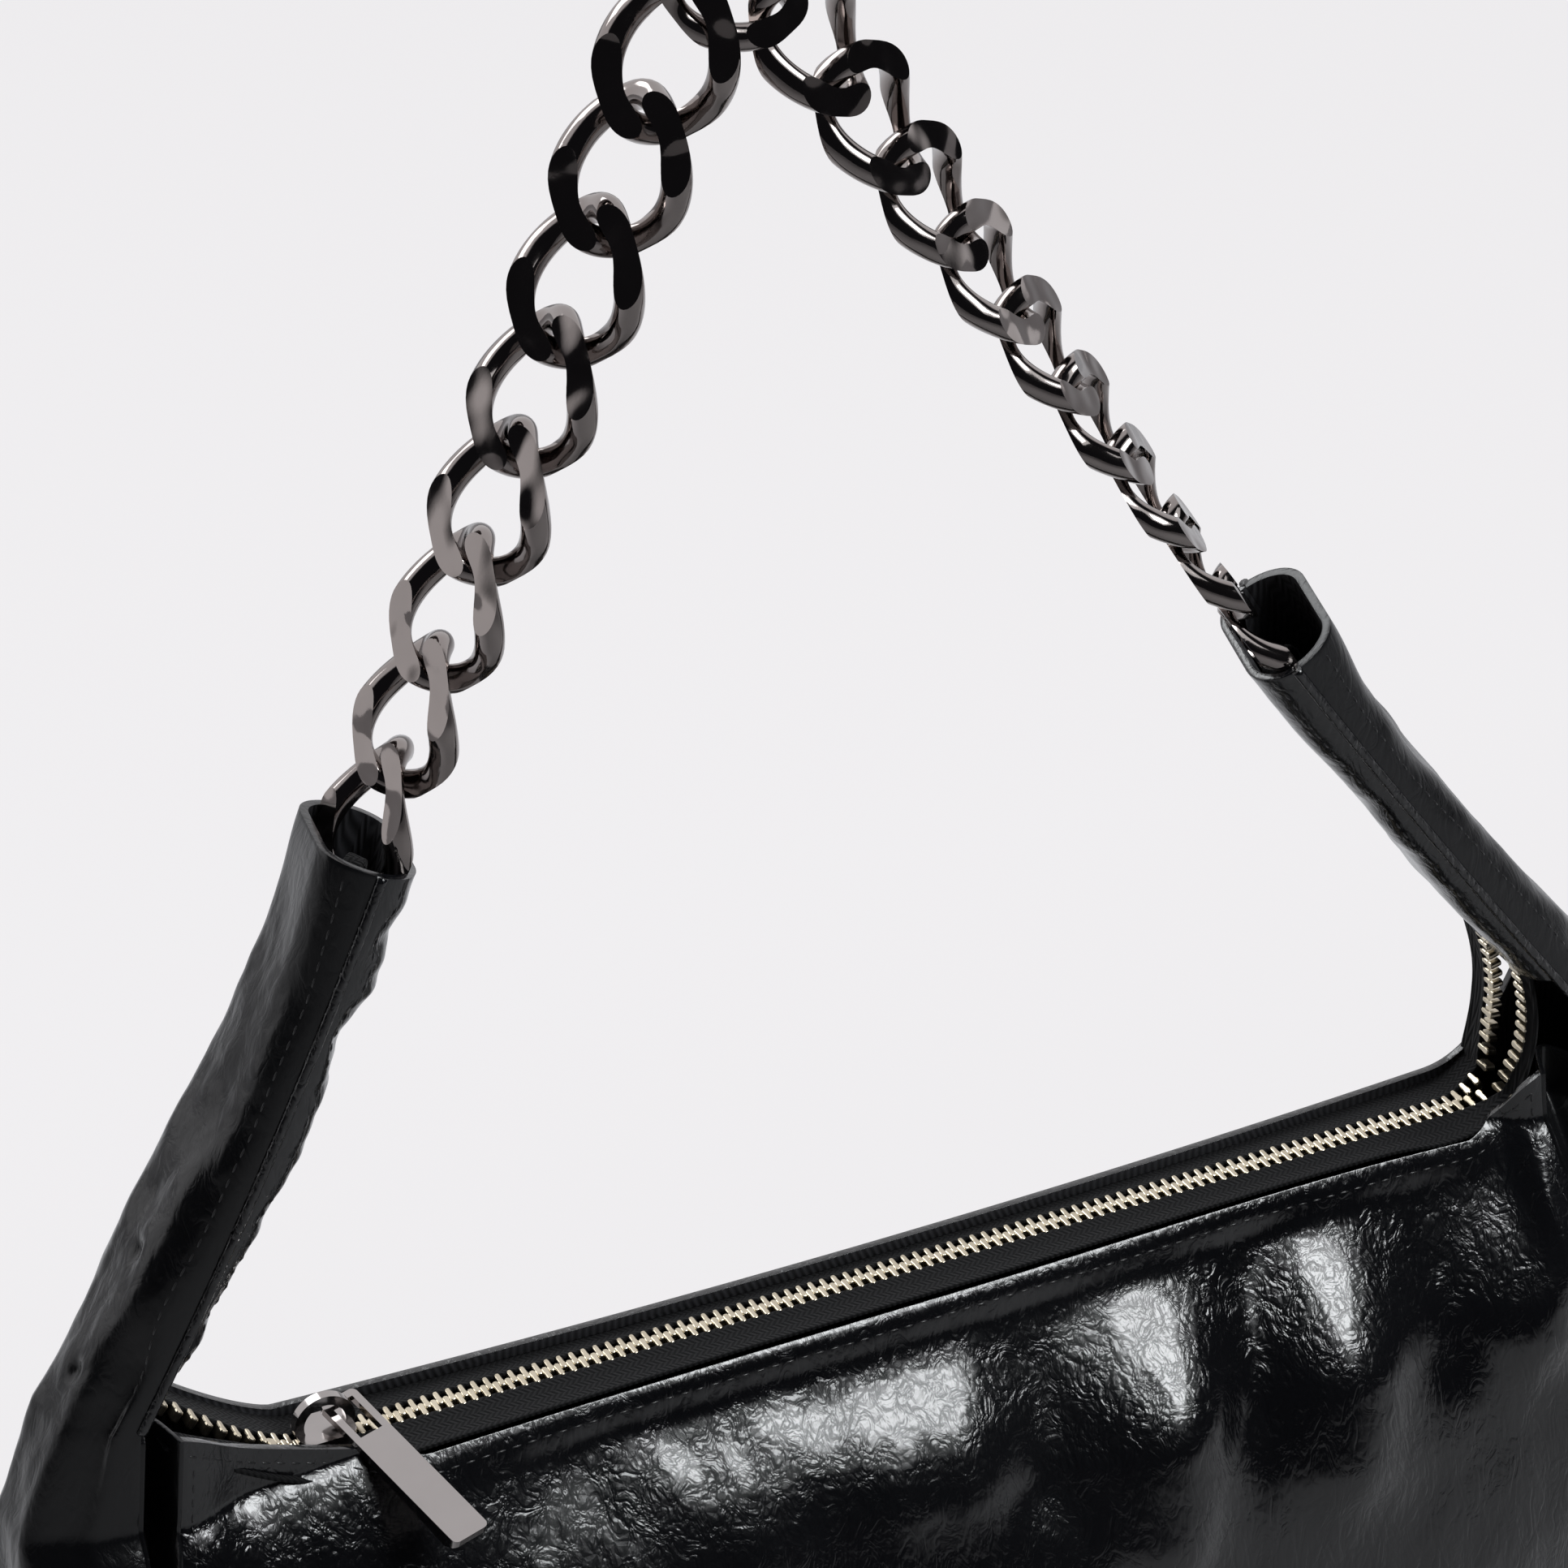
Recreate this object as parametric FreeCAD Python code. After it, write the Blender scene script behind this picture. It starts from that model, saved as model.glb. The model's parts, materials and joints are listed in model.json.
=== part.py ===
import FreeCAD, Part
import math
import os
from FreeCAD import Vector

# Driving dimensions, in millimetres and degrees.
# Frame: origin at the middle of the chain's top link, +X along the zip, +Y to the back, +Z up.

# Curb chain
link_pitch = 20.0
wire_diameter = 4.8
link_play = 0.6
link_width = 23.4
link_flat_thickness = 6.4
link_end_turn_deg = -45.0
link_fullness_share = 0.15
left_link_count = 8
right_link_count = 9
left_lean_deg = 24.0
right_lean_deg = 33.9
left_first_turn_deg = 42.0
right_first_turn_deg = 30.0
last_link_turn_deg = 84.0
top_link_turn_deg = 30.0
top_link_yaw_deg = 12.0
top_link_pitch_deg = -24.0
left_start_x = -8.0
left_start_y = -2.0
left_start_z = -1.0
right_start_x = 9.0
right_start_y = -1.0
right_start_z = -4.0

# Leather tabs that take the chain ends
leather = 1.6
tab_half_width = 14.0
tab_mouth_half_thickness = 7.9
tab_waist_half_thickness = 7.0
tab_foot_outer = 14.0
tab_foot_inner = 5.0
tab_drop = 97.6
tab_twist_deg = 6.0
left_mouth_share = 0.72
right_mouth_share = 0.6
corner_share = 0.55

# Anchor straps inside the tabs
strap_width = 3.6
strap_thickness = 1.4
strap_play = 1.0
strap_length = 14.0
pad_length = 12.0
pad_half_width = 5.0
pad_half_thickness = 4.0

# Bag body
bag_shift = 11.6
foot_half_span = 150.0
end_rise = 22.0
zip_straight_half = 118.0
front_edge_drop = 2.2
back_edge_rise = 1.5
body_height = 186.0
body_half_width = 177.0
body_half_depth = 45.0
zip_half_width = 172.0
end_bulge = 20.0
tab_foot_half_width = 12.6
front_mouth_depth = 9.4
back_mouth_depth = 7.0
base_thickness = 2.0
lining = 0.6
lining_gap = 0.3
board_thickness = 1.5
board_margin = 8.0

# Zip
tooth_pitch = 2.466
tooth_width = 1.0
tooth_reach = 0.6
tooth_height = 2.4
bead_inner = 2.0
bead_width = 1.0
tape_thickness = 0.8
tape_sink = 1.0
tape_edge_gap = 0.3
straight_limit = 0.05
tape_end_deg = 58.0
end_stop_length = 3.0

# Zip slider
slider_length = 11.0
slider_plate = 1.5
slider_gap = 0.3
slider_flange = 1.1
slider_corner = 2.6
slider_rest_inset = 6.0
crown_span = 11.5
crown_height = 7.2
crown_bar = 1.9

# Zip puller
puller_length = 38.5
puller_width = 8.0
puller_thin = 1.5
puller_thick = 3.0
puller_rim = 1.5
puller_window = 8.6
puller_bevel = 2.4
puller_corner = 1.2
puller_yaw_deg = 18.0
puller_dip_deg = 15.0
puller_pivot_x = 3.85
puller_pivot_rise = 2.9
puller_gap = 0.35

# Shares that shape the body between its base (0) and the zip (1)
level_shares = [0, 0.04, 0.1, 0.18, 0.28, 0.4, 0.52, 0.63, 0.73, 0.81, 0.87, 0.92, 0.96, 0.985, 1]
swell_power = 3
swell_root = 0.75
belly_share = 0.28
base_width_share = 0.86
base_depth_share = 0.8
panel_edge_share = 0.82
tab_stations = 6
loft_circles = 16
overrun = 5.0


def export(name, shape):
    shape.exportStep(os.path.join("parts", name + ".step"))


def arc(a, b, c):
    return Part.Arc(a, b, c).toShape()


def line(a, b):
    return Part.LineSegment(a, b).toShape()


def mix(a, b, share):
    return a + (b - a) * share


def ring_wire(outer, inner):
    """Closed wire between two open runs of edges that lie side by side."""
    start = line(inner[0].firstVertex(True).Point, outer[0].firstVertex(True).Point)
    end = line(outer[-1].lastVertex(True).Point, inner[-1].lastVertex(True).Point)
    return Part.Wire(Part.__sortEdges__([start] + outer + [end] + inner))


def prism(outline, way):
    return Part.Face(Part.Wire(Part.__sortEdges__(outline))).extrude(way)


def placement(origin, x_axis, y_axis, z_axis):
    return FreeCAD.Placement(FreeCAD.Matrix(
        x_axis.x, y_axis.x, z_axis.x, origin.x,
        x_axis.y, y_axis.y, z_axis.y, origin.y,
        x_axis.z, y_axis.z, z_axis.z, origin.z,
        0, 0, 0, 1))


# Curb link: an oval of round wire whose two ends turn opposite ways, ground flat on both faces

wire_radius = wire_diameter / 2
link_half_length = (link_pitch + link_play + wire_diameter) / 2
link_half_width = (link_width - wire_diameter) / 2
end_turn = math.radians(link_end_turn_deg)


def link_point(angle):
    x = link_half_width * math.cos(angle) * (1 + link_fullness_share * math.sin(angle) ** 2)
    turn = end_turn * math.sin(angle)
    return Vector(x * math.cos(turn), x * math.sin(turn), link_half_length * math.sin(angle))


def link_circle(angle):
    small = math.pi / 1000
    way = link_point(angle + small) - link_point(angle - small)
    return Part.Wire([Part.Circle(link_point(angle), way, wire_radius).toShape()])


def curb_link():
    step = 2 * math.pi / loft_circles
    ring = Part.makeLoft([link_circle(step * i) for i in range(loft_circles)], True, False, True)
    side = 2 * (link_half_length + wire_diameter)
    corner = Vector(-side / 2, -link_flat_thickness / 2, -side / 2)
    return ring.common(Part.makeBox(side, link_flat_thickness, side, corner)).Solids[0]


def placed_link(link, middle, down, face):
    normal = (face - down * face.dot(down)).normalize()
    up = down * -1
    piece = link.copy()
    piece.Placement = placement(middle, normal.cross(up), normal, up)
    return piece


class Leg:
    """One side of the chain: a straight run of links that turns slowly about its own axis."""

    def __init__(self, name, side, start, lean_deg, count, first_turn_deg, mouth_share):
        lean = math.radians(lean_deg)
        self.name = name
        self.side = side
        self.count = count
        self.start = start
        self.first_turn_deg = first_turn_deg
        self.down = Vector(side * math.sin(lean), 0, -math.cos(lean))
        self.out = Vector(side * math.cos(lean), 0, math.sin(lean))
        self.mouth = self.contact(count - 1 + mouth_share)

    def contact(self, index):
        return self.start + self.down * (link_pitch * index)

    def face(self, index):
        turn = math.radians(mix(self.first_turn_deg, last_link_turn_deg, index / (self.count - 1)))
        return Vector(0, -math.cos(turn), 0) + self.out * math.sin(turn)

    def link(self, link, index):
        return placed_link(link, self.contact(index + 1 / 2), self.down, self.face(index))


left = Leg("left", -1, Vector(left_start_x, left_start_y, left_start_z), left_lean_deg,
           left_link_count, left_first_turn_deg, left_mouth_share)
right = Leg("right", 1, Vector(right_start_x, right_start_y, right_start_z), right_lean_deg,
            right_link_count, right_first_turn_deg, right_mouth_share)

# Places of the bag below the two mouths

bag_x = (left.mouth.x + right.mouth.x) / 2 + bag_shift
foot_z = min(left.mouth.z, right.mouth.z) - tab_drop
zip_z = foot_z - end_rise
base_z = zip_z - body_height


def build_chain():
    link = curb_link()
    turn = math.radians(top_link_turn_deg)
    yaw = math.radians(top_link_yaw_deg)
    pitch = math.radians(top_link_pitch_deg)
    along = Vector(math.cos(yaw) * math.cos(pitch), math.sin(yaw) * math.cos(pitch), math.sin(pitch))
    back = Vector(-math.sin(yaw), math.cos(yaw), 0)
    face = along.cross(back) * math.sin(turn) - back * math.cos(turn)
    export("link_top", placed_link(link, Vector(0, 0, 0), along, face))
    for leg in (left, right):
        for i in range(leg.count):
            export("link_%s_%d" % (leg.name, i + 1), leg.link(link, i))


# Strips of leather: open runs of edges that bow from one side to the other

def bow(middle, across, out, half, rise):
    """Run from -half to +half along across, bowed by rise along out, with rounded shoulders."""
    corner = corner_share * half
    soft = math.sqrt(1 / 2)

    def at(x, y):
        return middle + across * x + out * y

    first = arc(at(-half, 0), at(-half + corner * (1 - soft), rise * soft), at(-half + corner, rise))
    flat = line(at(-half + corner, rise), at(half - corner, rise))
    last = arc(at(half - corner, rise), at(half - corner * (1 - soft), rise * soft), at(half, 0))
    return [first, flat, last]


def bow_ring(middle, across, out, half, rise, outer_inset, inner_inset):
    return ring_wire(bow(middle, across, out, half - outer_inset, rise - outer_inset),
                     bow(middle, across, out, half - inner_inset, rise - inner_inset))


class Level:
    """Horizontal section of the body: its ends, its panels' edges and its depth."""

    def __init__(self, share):
        belly = min(share / belly_share, 1)
        climb = max((share - belly_share) / (1 - belly_share), 0)
        lower = (1 - belly) ** 2
        swell = (1 - climb ** swell_power) ** swell_root
        self.z = mix(base_z, zip_z, share)
        self.end = mix(body_half_width, zip_half_width, climb ** 2) * mix(1, base_width_share, lower)
        depth = mix(body_half_depth, body_half_depth * base_depth_share, lower)
        self.front = mix(front_mouth_depth, depth, swell)
        self.back = mix(back_mouth_depth, depth, swell)
        self.edge = mix(tab_foot_half_width, depth * panel_edge_share, swell)
        self.corner = self.end - end_bulge


class FootLevel:
    """Section where the two tabs leave the body."""

    z = foot_z
    end = foot_half_span + tab_foot_outer
    front = front_mouth_depth
    back = back_mouth_depth
    edge = tab_foot_half_width
    corner = foot_half_span


levels = [Level(share) for share in level_shares] + [FootLevel]


def panel_run(level, side, inset):
    """Front or back edge of a section: one shallow arc from corner to corner."""
    middle = level.front if side < 0 else level.back
    if abs(middle - level.edge) < straight_limit:
        middle = level.edge + straight_limit
    y_edge = side * (level.edge - inset)
    return [arc(Vector(bag_x - level.corner, y_edge, level.z),
                Vector(bag_x, side * (middle - inset), level.z),
                Vector(bag_x + level.corner, y_edge, level.z))]


def panel(side, outer_inset, inner_inset):
    wires = [ring_wire(panel_run(v, side, outer_inset), panel_run(v, side, inner_inset)) for v in levels]
    return Part.makeLoft(wires, True, True)


def gusset(side, outer_inset, inner_inset):
    wires = []
    for v in levels:
        middle = Vector(bag_x + side * v.corner, 0, v.z)
        wires.append(bow_ring(middle, Vector(0, 1, 0), Vector(side, 0, 0), v.edge, v.end - v.corner,
                              outer_inset, inner_inset))
    return Part.makeLoft(wires, True, True)


# Top line of the bag: straight along the zip, then an arc up to each tab

climb_run = foot_half_span - zip_straight_half
climb_radius = (climb_run ** 2 + end_rise ** 2) / (2 * end_rise)


def top_run(sink, end_angle):
    """Edges of the top line, lowered by sink, from its left end to its right end."""
    radius = climb_radius + sink
    z_middle = zip_z + climb_radius

    def on_arc(side, angle):
        return Vector(bag_x + side * (zip_straight_half + radius * math.sin(angle)), 0,
                      z_middle - radius * math.cos(angle))

    left_arc = arc(on_arc(-1, end_angle), on_arc(-1, end_angle / 2), on_arc(-1, 0))
    right_arc = arc(on_arc(1, 0), on_arc(1, end_angle / 2), on_arc(1, end_angle))
    return [left_arc, line(on_arc(-1, 0), on_arc(1, 0)), right_arc]


def above_top_line(sink):
    run = top_run(sink, math.asin(climb_run / climb_radius))
    first = run[0].firstVertex(True).Point
    last = run[-1].lastVertex(True).Point
    lift = Vector(0, 0, overrun)
    outline = run + [line(last, last + lift), line(last + lift, first + lift), line(first + lift, first)]
    solid = prism(outline, Vector(0, 2 * body_half_depth, 0))
    solid.translate(Vector(0, -body_half_depth, 0))
    return solid


def build_body():
    export("front_panel", panel(-1, 0, leather).cut(above_top_line(front_edge_drop)))
    export("back_panel", panel(1, 0, leather).cut(above_top_line(-back_edge_rise)))
    export("left_gusset", gusset(-1, 0, leather))
    export("right_gusset", gusset(1, 0, leather))

    low = levels[0]
    outline = panel_run(low, -1, 0) + panel_run(low, 1, 0)
    inner = panel_run(low, -1, board_margin) + panel_run(low, 1, board_margin)
    for side in (-1, 1):
        middle = Vector(bag_x + side * low.corner, 0, low.z)
        out = Vector(side, 0, 0)
        rise = low.end - low.corner
        outline += bow(middle, Vector(0, 1, 0), out, low.edge, rise)
        inner += bow(middle, Vector(0, 1, 0), out, low.edge - board_margin, rise - board_margin)
    export("base_panel", prism(outline, Vector(0, 0, -base_thickness)))
    export("base_board", prism(inner, Vector(0, 0, board_thickness)))

    skin = leather + lining_gap
    lining_top = zip_z - tape_sink - tape_thickness - slider_gap - tooth_height - slider_plate
    size = 2 * (body_half_width + overrun)
    keep = Part.makeBox(size, size, body_height, Vector(bag_x - size / 2, -size / 2, lining_top - body_height))
    export("lining_front", panel(-1, skin, skin + lining).common(keep))
    export("lining_back", panel(1, skin, skin + lining).common(keep))
    export("lining_left", gusset(-1, skin, skin + lining).common(keep))
    export("lining_right", gusset(1, skin, skin + lining).common(keep))


# Tabs: two strips sewn edge to edge into a flat tube, from the chain's mouth down to the body

def tab_foot(leg):
    return Vector(bag_x + leg.side * foot_half_span, 0, foot_z)


def tab_length(leg):
    return (tab_foot(leg) - leg.mouth).Length


def tab_station(leg, share):
    knee = leg.mouth + leg.down * (tab_length(leg) / 2)
    middle = mix(mix(leg.mouth, knee, share), mix(knee, tab_foot(leg), share), share)
    twist = math.radians(mix(tab_twist_deg, 0, share))
    out = mix(leg.out, Vector(leg.side, 0, 0), share).normalize()
    across = Vector(0, math.cos(twist), 0) + out * math.sin(twist)
    normal = out * math.cos(twist) - Vector(0, math.sin(twist), 0)
    waist = 4 * share * (1 - share)
    half = mix(tab_half_width, FootLevel.edge, share)
    thick = tab_mouth_half_thickness - (tab_mouth_half_thickness - tab_waist_half_thickness) * waist
    return middle, across, normal, half, thick


def tab_strip(leg, sign):
    foot_rise = tab_foot_outer if sign > 0 else tab_foot_inner
    wires = []
    for i in range(tab_stations + 1):
        share = i / tab_stations
        middle, across, normal, half, thick = tab_station(leg, share)
        rise = mix(thick, foot_rise, share ** 2)
        wires.append(bow_ring(middle, across, normal * sign, half, rise, 0, leather))
    return Part.makeLoft(wires, True, True)


def anchor_strap(leg):
    """Strap looped through the last link and folded into a sewn pad further down the tab."""
    face = leg.face(leg.count - 1)
    width = face.cross(leg.down * -1)
    wire_way = width * math.cos(end_turn) - face * math.sin(end_turn)
    middle = leg.contact(leg.count - 1 / 2) + leg.down * link_half_length
    side = wire_way.cross(leg.down)
    inner = wire_radius + strap_play
    outer = inner + strap_thickness
    up = leg.down * -1

    def at(x, z):
        return middle - wire_way * (strap_width / 2) + side * x + up * z

    loop = [line(at(-outer, -strap_length), at(-outer, 0)), arc(at(-outer, 0), at(0, outer), at(outer, 0)),
            line(at(outer, 0), at(outer, -strap_length)), line(at(outer, -strap_length), at(inner, -strap_length)),
            line(at(inner, -strap_length), at(inner, 0)), arc(at(inner, 0), at(0, inner), at(-inner, 0)),
            line(at(-inner, 0), at(-inner, -strap_length)),
            line(at(-inner, -strap_length), at(-outer, -strap_length))]
    strap = prism(loop, wire_way * strap_width)
    drop = (middle + leg.down * strap_length - leg.mouth).Length
    seat, across, normal, half, thick = tab_station(leg, drop / tab_length(leg))
    along = (tab_foot(leg) - seat).normalize()
    normal = (normal - along * normal.dot(along)).normalize()
    pad = Part.makeBox(2 * pad_half_width, 2 * pad_half_thickness, pad_length,
                       Vector(-pad_half_width, -pad_half_thickness, -pad_length / 2))
    pad.Placement = placement(seat, normal.cross(along * -1), normal, along * -1)
    return strap.fuse(pad)


def build_tabs():
    for leg in (left, right):
        export("%s_tab_outer" % leg.name, tab_strip(leg, 1))
        export("%s_tab_inner" % leg.name, tab_strip(leg, -1))
        export("%s_chain_anchor" % leg.name, anchor_strap(leg))


# Zip: two tapes that follow the top line, and a comb of teeth on each

bead_outer = bead_inner + bead_width
tape_top = zip_z - tape_sink
tooth_top = tape_top - tape_thickness / 2 + tooth_height / 2
tooth_bottom = tooth_top - tooth_height
teeth_per_side = int(2 * zip_straight_half / tooth_pitch)
teeth_start = bag_x - teeth_per_side * tooth_pitch / 2


def zip_tape(side):
    end = math.radians(tape_end_deg)
    wire = ring_wire(top_run(tape_sink, end), top_run(tape_sink + tape_thickness, end))
    ribbon = Part.Face(wire).extrude(Vector(0, side * body_half_depth, 0))
    rim = panel_run(FootLevel, side, leather + tape_edge_gap)
    first = rim[0].firstVertex(True).Point
    last = rim[0].lastVertex(True).Point
    y_bead = side * bead_outer
    inner = [line(last, Vector(last.x, y_bead, last.z)),
             line(Vector(last.x, y_bead, last.z), Vector(first.x, y_bead, first.z)),
             line(Vector(first.x, y_bead, first.z), first)]
    plan = prism(rim + inner, Vector(0, 0, -body_height))
    return ribbon.common(plan)


def zip_teeth(side):
    """Comb outline: a bead along the tape's edge with one tooth per pitch reaching past the middle."""
    shift = 0 if side < 0 else tooth_pitch / 2
    end_x = teeth_start + teeth_per_side * tooth_pitch + tooth_pitch / 2
    points = [Vector(teeth_start, side * bead_outer, tooth_bottom)]
    points.append(Vector(teeth_start, side * bead_inner, tooth_bottom))
    for i in range(teeth_per_side):
        x = teeth_start + shift + (tooth_pitch - tooth_width) / 2 + i * tooth_pitch
        points.append(Vector(x, side * bead_inner, tooth_bottom))
        points.append(Vector(x, -side * tooth_reach, tooth_bottom))
        points.append(Vector(x + tooth_width, -side * tooth_reach, tooth_bottom))
        points.append(Vector(x + tooth_width, side * bead_inner, tooth_bottom))
    points.append(Vector(end_x, side * bead_inner, tooth_bottom))
    points.append(Vector(end_x, side * bead_outer, tooth_bottom))
    points.append(points[0])
    return Part.Face(Part.makePolygon(points)).extrude(Vector(0, 0, tooth_height))


def end_stops():
    width = 2 * bead_inner
    stops = []
    ends = (teeth_start - slider_gap - end_stop_length,
            teeth_start + (teeth_per_side + 1 / 2) * tooth_pitch + slider_gap)
    for x in ends:
        stops.append(Part.makeBox(end_stop_length, width, tooth_height, Vector(x, -bead_inner, tooth_bottom)))
    return Part.makeCompound(stops)


# Slider: a plate above and a plate below the teeth, each with lips over the beads, and an arched crown

slider_x = bag_x - zip_straight_half + slider_rest_inset
slider_half = bead_outer + slider_gap + slider_flange
plate_bottom = tooth_top + slider_gap
plate_top = plate_bottom + slider_plate


def slider_shell(z_plate, z_lip, plate_height, lip_height):
    plate = Part.makeBox(slider_length, 2 * slider_half, plate_height,
                         Vector(slider_x - slider_length / 2, -slider_half, z_plate))
    upright = [e for e in plate.Edges if abs(e.tangentAt(e.FirstParameter).z) > 1 / 2]
    shell = plate.makeFillet(slider_corner, upright)
    lip_length = slider_length - 2 * slider_corner
    for y in (-slider_half, slider_half - slider_flange):
        corner = Vector(slider_x - lip_length / 2, y, z_lip)
        shell = shell.fuse(Part.makeBox(lip_length, slider_flange, lip_height, corner))
    return shell.removeSplitter()


def crown():
    base = Vector(slider_x, -crown_bar / 2, plate_top)

    def arch(inset):
        half = crown_span / 2 - inset
        return arc(base - Vector(half, 0, 0), base + Vector(0, 0, crown_height - inset), base + Vector(half, 0, 0))

    solid = Part.Face(ring_wire([arch(0)], [arch(crown_bar)])).extrude(Vector(0, crown_bar, 0))
    return solid


def zip_slider():
    lip = tape_top + slider_gap
    upper = slider_shell(plate_bottom, lip, slider_plate, plate_bottom - lip)
    under = tooth_bottom - slider_gap
    tape_bottom = tape_top - tape_thickness
    lower = slider_shell(under - slider_plate, under, slider_plate, tape_bottom - slider_gap - under)
    return Part.makeCompound([upper.fuse(crown()).removeSplitter(), lower])


def puller_pivot():
    return Vector(slider_x + puller_pivot_x, crown_bar / 2 + puller_gap + puller_rim / 2,
                  plate_top + puller_pivot_rise)


def zip_puller():
    """Bar with a window round the crown's leg, thin at the window and thick with a bevel at the far end."""
    thin = puller_thin / 2
    far = puller_length - puller_rim / 2
    bar_end = puller_window + puller_rim / 2

    def at(x, z):
        return Vector(x, -puller_width / 2, z)

    outline = [at(-puller_rim / 2, -thin), at(bar_end, -thin), at(far - puller_bevel, thin - puller_thick),
               at(far, -thin), at(far, thin), at(-puller_rim / 2, thin), at(-puller_rim / 2, -thin)]
    bar = Part.Face(Part.makePolygon(outline)).extrude(Vector(0, puller_width, 0))
    window = Part.makeBox(puller_window, puller_width - 2 * puller_rim, 2 * puller_thick,
                          Vector(puller_rim / 2, puller_rim - puller_width / 2, -puller_thick))
    solid = bar.cut(window)
    tips = [e for e in solid.Edges if abs(e.CenterOfMass.x + puller_rim / 2) < puller_gap
            and abs(e.tangentAt(e.FirstParameter).z) > 1 / 2]
    tips += [e for e in solid.Edges if abs(e.CenterOfMass.x - far) < puller_gap
             and abs(e.tangentAt(e.FirstParameter).z) > 1 / 2]
    solid = solid.makeFillet(puller_corner, tips)
    yaw = math.radians(puller_yaw_deg)
    dip = math.radians(puller_dip_deg)
    flat_way = Vector(math.sin(yaw), -math.cos(yaw), 0)
    along = flat_way * math.cos(dip) + Vector(0, 0, -math.sin(dip))
    across = Vector(math.cos(yaw), math.sin(yaw), 0)
    solid.Placement = placement(puller_pivot(), along, across, along.cross(across))
    return solid


def build_zip():
    export("zip_tape_front", zip_tape(-1))
    export("zip_tape_back", zip_tape(1))
    export("zip_teeth_front", zip_teeth(-1))
    export("zip_teeth_back", zip_teeth(1))
    export("zip_end_stops", end_stops())
    export("zip_slider", zip_slider())
    export("zip_puller", zip_puller())


os.makedirs("parts", exist_ok=True)
build_chain()
build_body()
build_tabs()
build_zip()
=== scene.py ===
import json
import math

import bmesh
import bpy
from mathutils import Matrix, Vector, noise


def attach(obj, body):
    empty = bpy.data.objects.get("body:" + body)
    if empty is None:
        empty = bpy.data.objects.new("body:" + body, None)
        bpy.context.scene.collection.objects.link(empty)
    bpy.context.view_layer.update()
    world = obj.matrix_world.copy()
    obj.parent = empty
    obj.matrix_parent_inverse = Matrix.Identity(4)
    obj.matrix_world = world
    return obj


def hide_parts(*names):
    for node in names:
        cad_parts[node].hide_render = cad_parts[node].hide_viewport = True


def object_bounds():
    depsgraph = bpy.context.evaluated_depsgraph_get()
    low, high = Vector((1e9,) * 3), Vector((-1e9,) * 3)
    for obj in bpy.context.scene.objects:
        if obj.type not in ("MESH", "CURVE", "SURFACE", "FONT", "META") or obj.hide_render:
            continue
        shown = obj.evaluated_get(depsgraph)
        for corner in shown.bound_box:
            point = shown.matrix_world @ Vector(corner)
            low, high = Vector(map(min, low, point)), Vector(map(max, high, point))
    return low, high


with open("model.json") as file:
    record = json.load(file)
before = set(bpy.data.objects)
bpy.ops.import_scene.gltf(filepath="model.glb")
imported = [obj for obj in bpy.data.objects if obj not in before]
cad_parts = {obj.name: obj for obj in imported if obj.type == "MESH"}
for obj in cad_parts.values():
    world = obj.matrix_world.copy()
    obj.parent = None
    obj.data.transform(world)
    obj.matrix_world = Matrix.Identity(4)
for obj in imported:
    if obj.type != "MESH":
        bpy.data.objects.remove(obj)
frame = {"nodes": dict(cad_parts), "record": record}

cad_low, cad_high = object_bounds()
nodes = frame["nodes"]

# Sizes, in millimetres and degrees, in the part's own frame
# Values by side: -1 is left or front, 1 is right or back
MM = 0.001
leather = 1.6
ends = ((-1, "left"), (1, "right"))
faces_of_bag = ((-1, "front"), (1, "back"))

# Chain legs and tabs
link_pitch = 20.0
chain_start = {-1: (-8.0, -2.0, -1.0), 1: (9.0, -1.0, -4.0)}
chain_lean_deg = {-1: 24.0, 1: 33.9}
mouth_links = {-1: 7.72, 1: 8.6}
tab_half_width = 14.0
tab_mouth_half_thickness = 7.9
tab_waist_half_thickness = 7.0
tab_foot_half_width = 12.6
tab_foot_outer = 14.0
tab_foot_inner = 5.0
tab_twist_deg = {-1: -9.0, 1: 12.0}
right_tab_lean_out = 3.0
corner_share = 0.55
foot_half_span = 150.0

# Body
body_height = 186.0
body_half_width = 177.0
body_half_depth = 45.0
zip_half_width = 172.0
end_bulge = 20.0
end_rise = 22.0
front_mouth_depth = 9.4
back_mouth_depth = 7.0
belly_share = 0.28
base_width_share = 0.86
base_depth_share = 0.8
panel_edge_share = 0.82
shoulder_power = 3
swell_power = 0.75
bag_x = 28.67
foot_z = -244.36
zip_z = foot_z - end_rise
base_z = zip_z - body_height

# Top edge: level along the zip, then climbing to the tabs
zip_straight_half = 117.0
climb_start = {-1: zip_straight_half, 1: 126.0}
climb_power = {-1: 1.3, 1: 2.2}
front_lift_start = {-1: 95.0, 1: 124.0}
front_lift = {-1: 22.0, 1: 13.0}
front_lift_power = 1.2
front_narrowing = 2.6
narrowing_start = 10.0
narrowing_end = 112.0
front_edge_drop = 2.2
back_edge_rise = 1.5

# Noise of the leather's wrinkles
wrinkle_falloff = 0.6
wrinkle_step = 2.1
wrinkle_layers = 3


def mix(a, b, share):
    return a + (b - a) * share


def smooth_step(a, b, value):
    share = min(max((value - a) / (b - a), 0), 1)
    return share * share * (3 - 2 * share)


def wrinkle(point, stretch, size, seed):
    """Noise at a point, with waves of a size that each axis stretches by its own factor."""
    x, y, z = (value * factor / size for value, factor in zip(point, stretch))
    return noise.fractal(Vector((x, y, z + seed)), wrinkle_falloff, wrinkle_step, wrinkle_layers)


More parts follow.
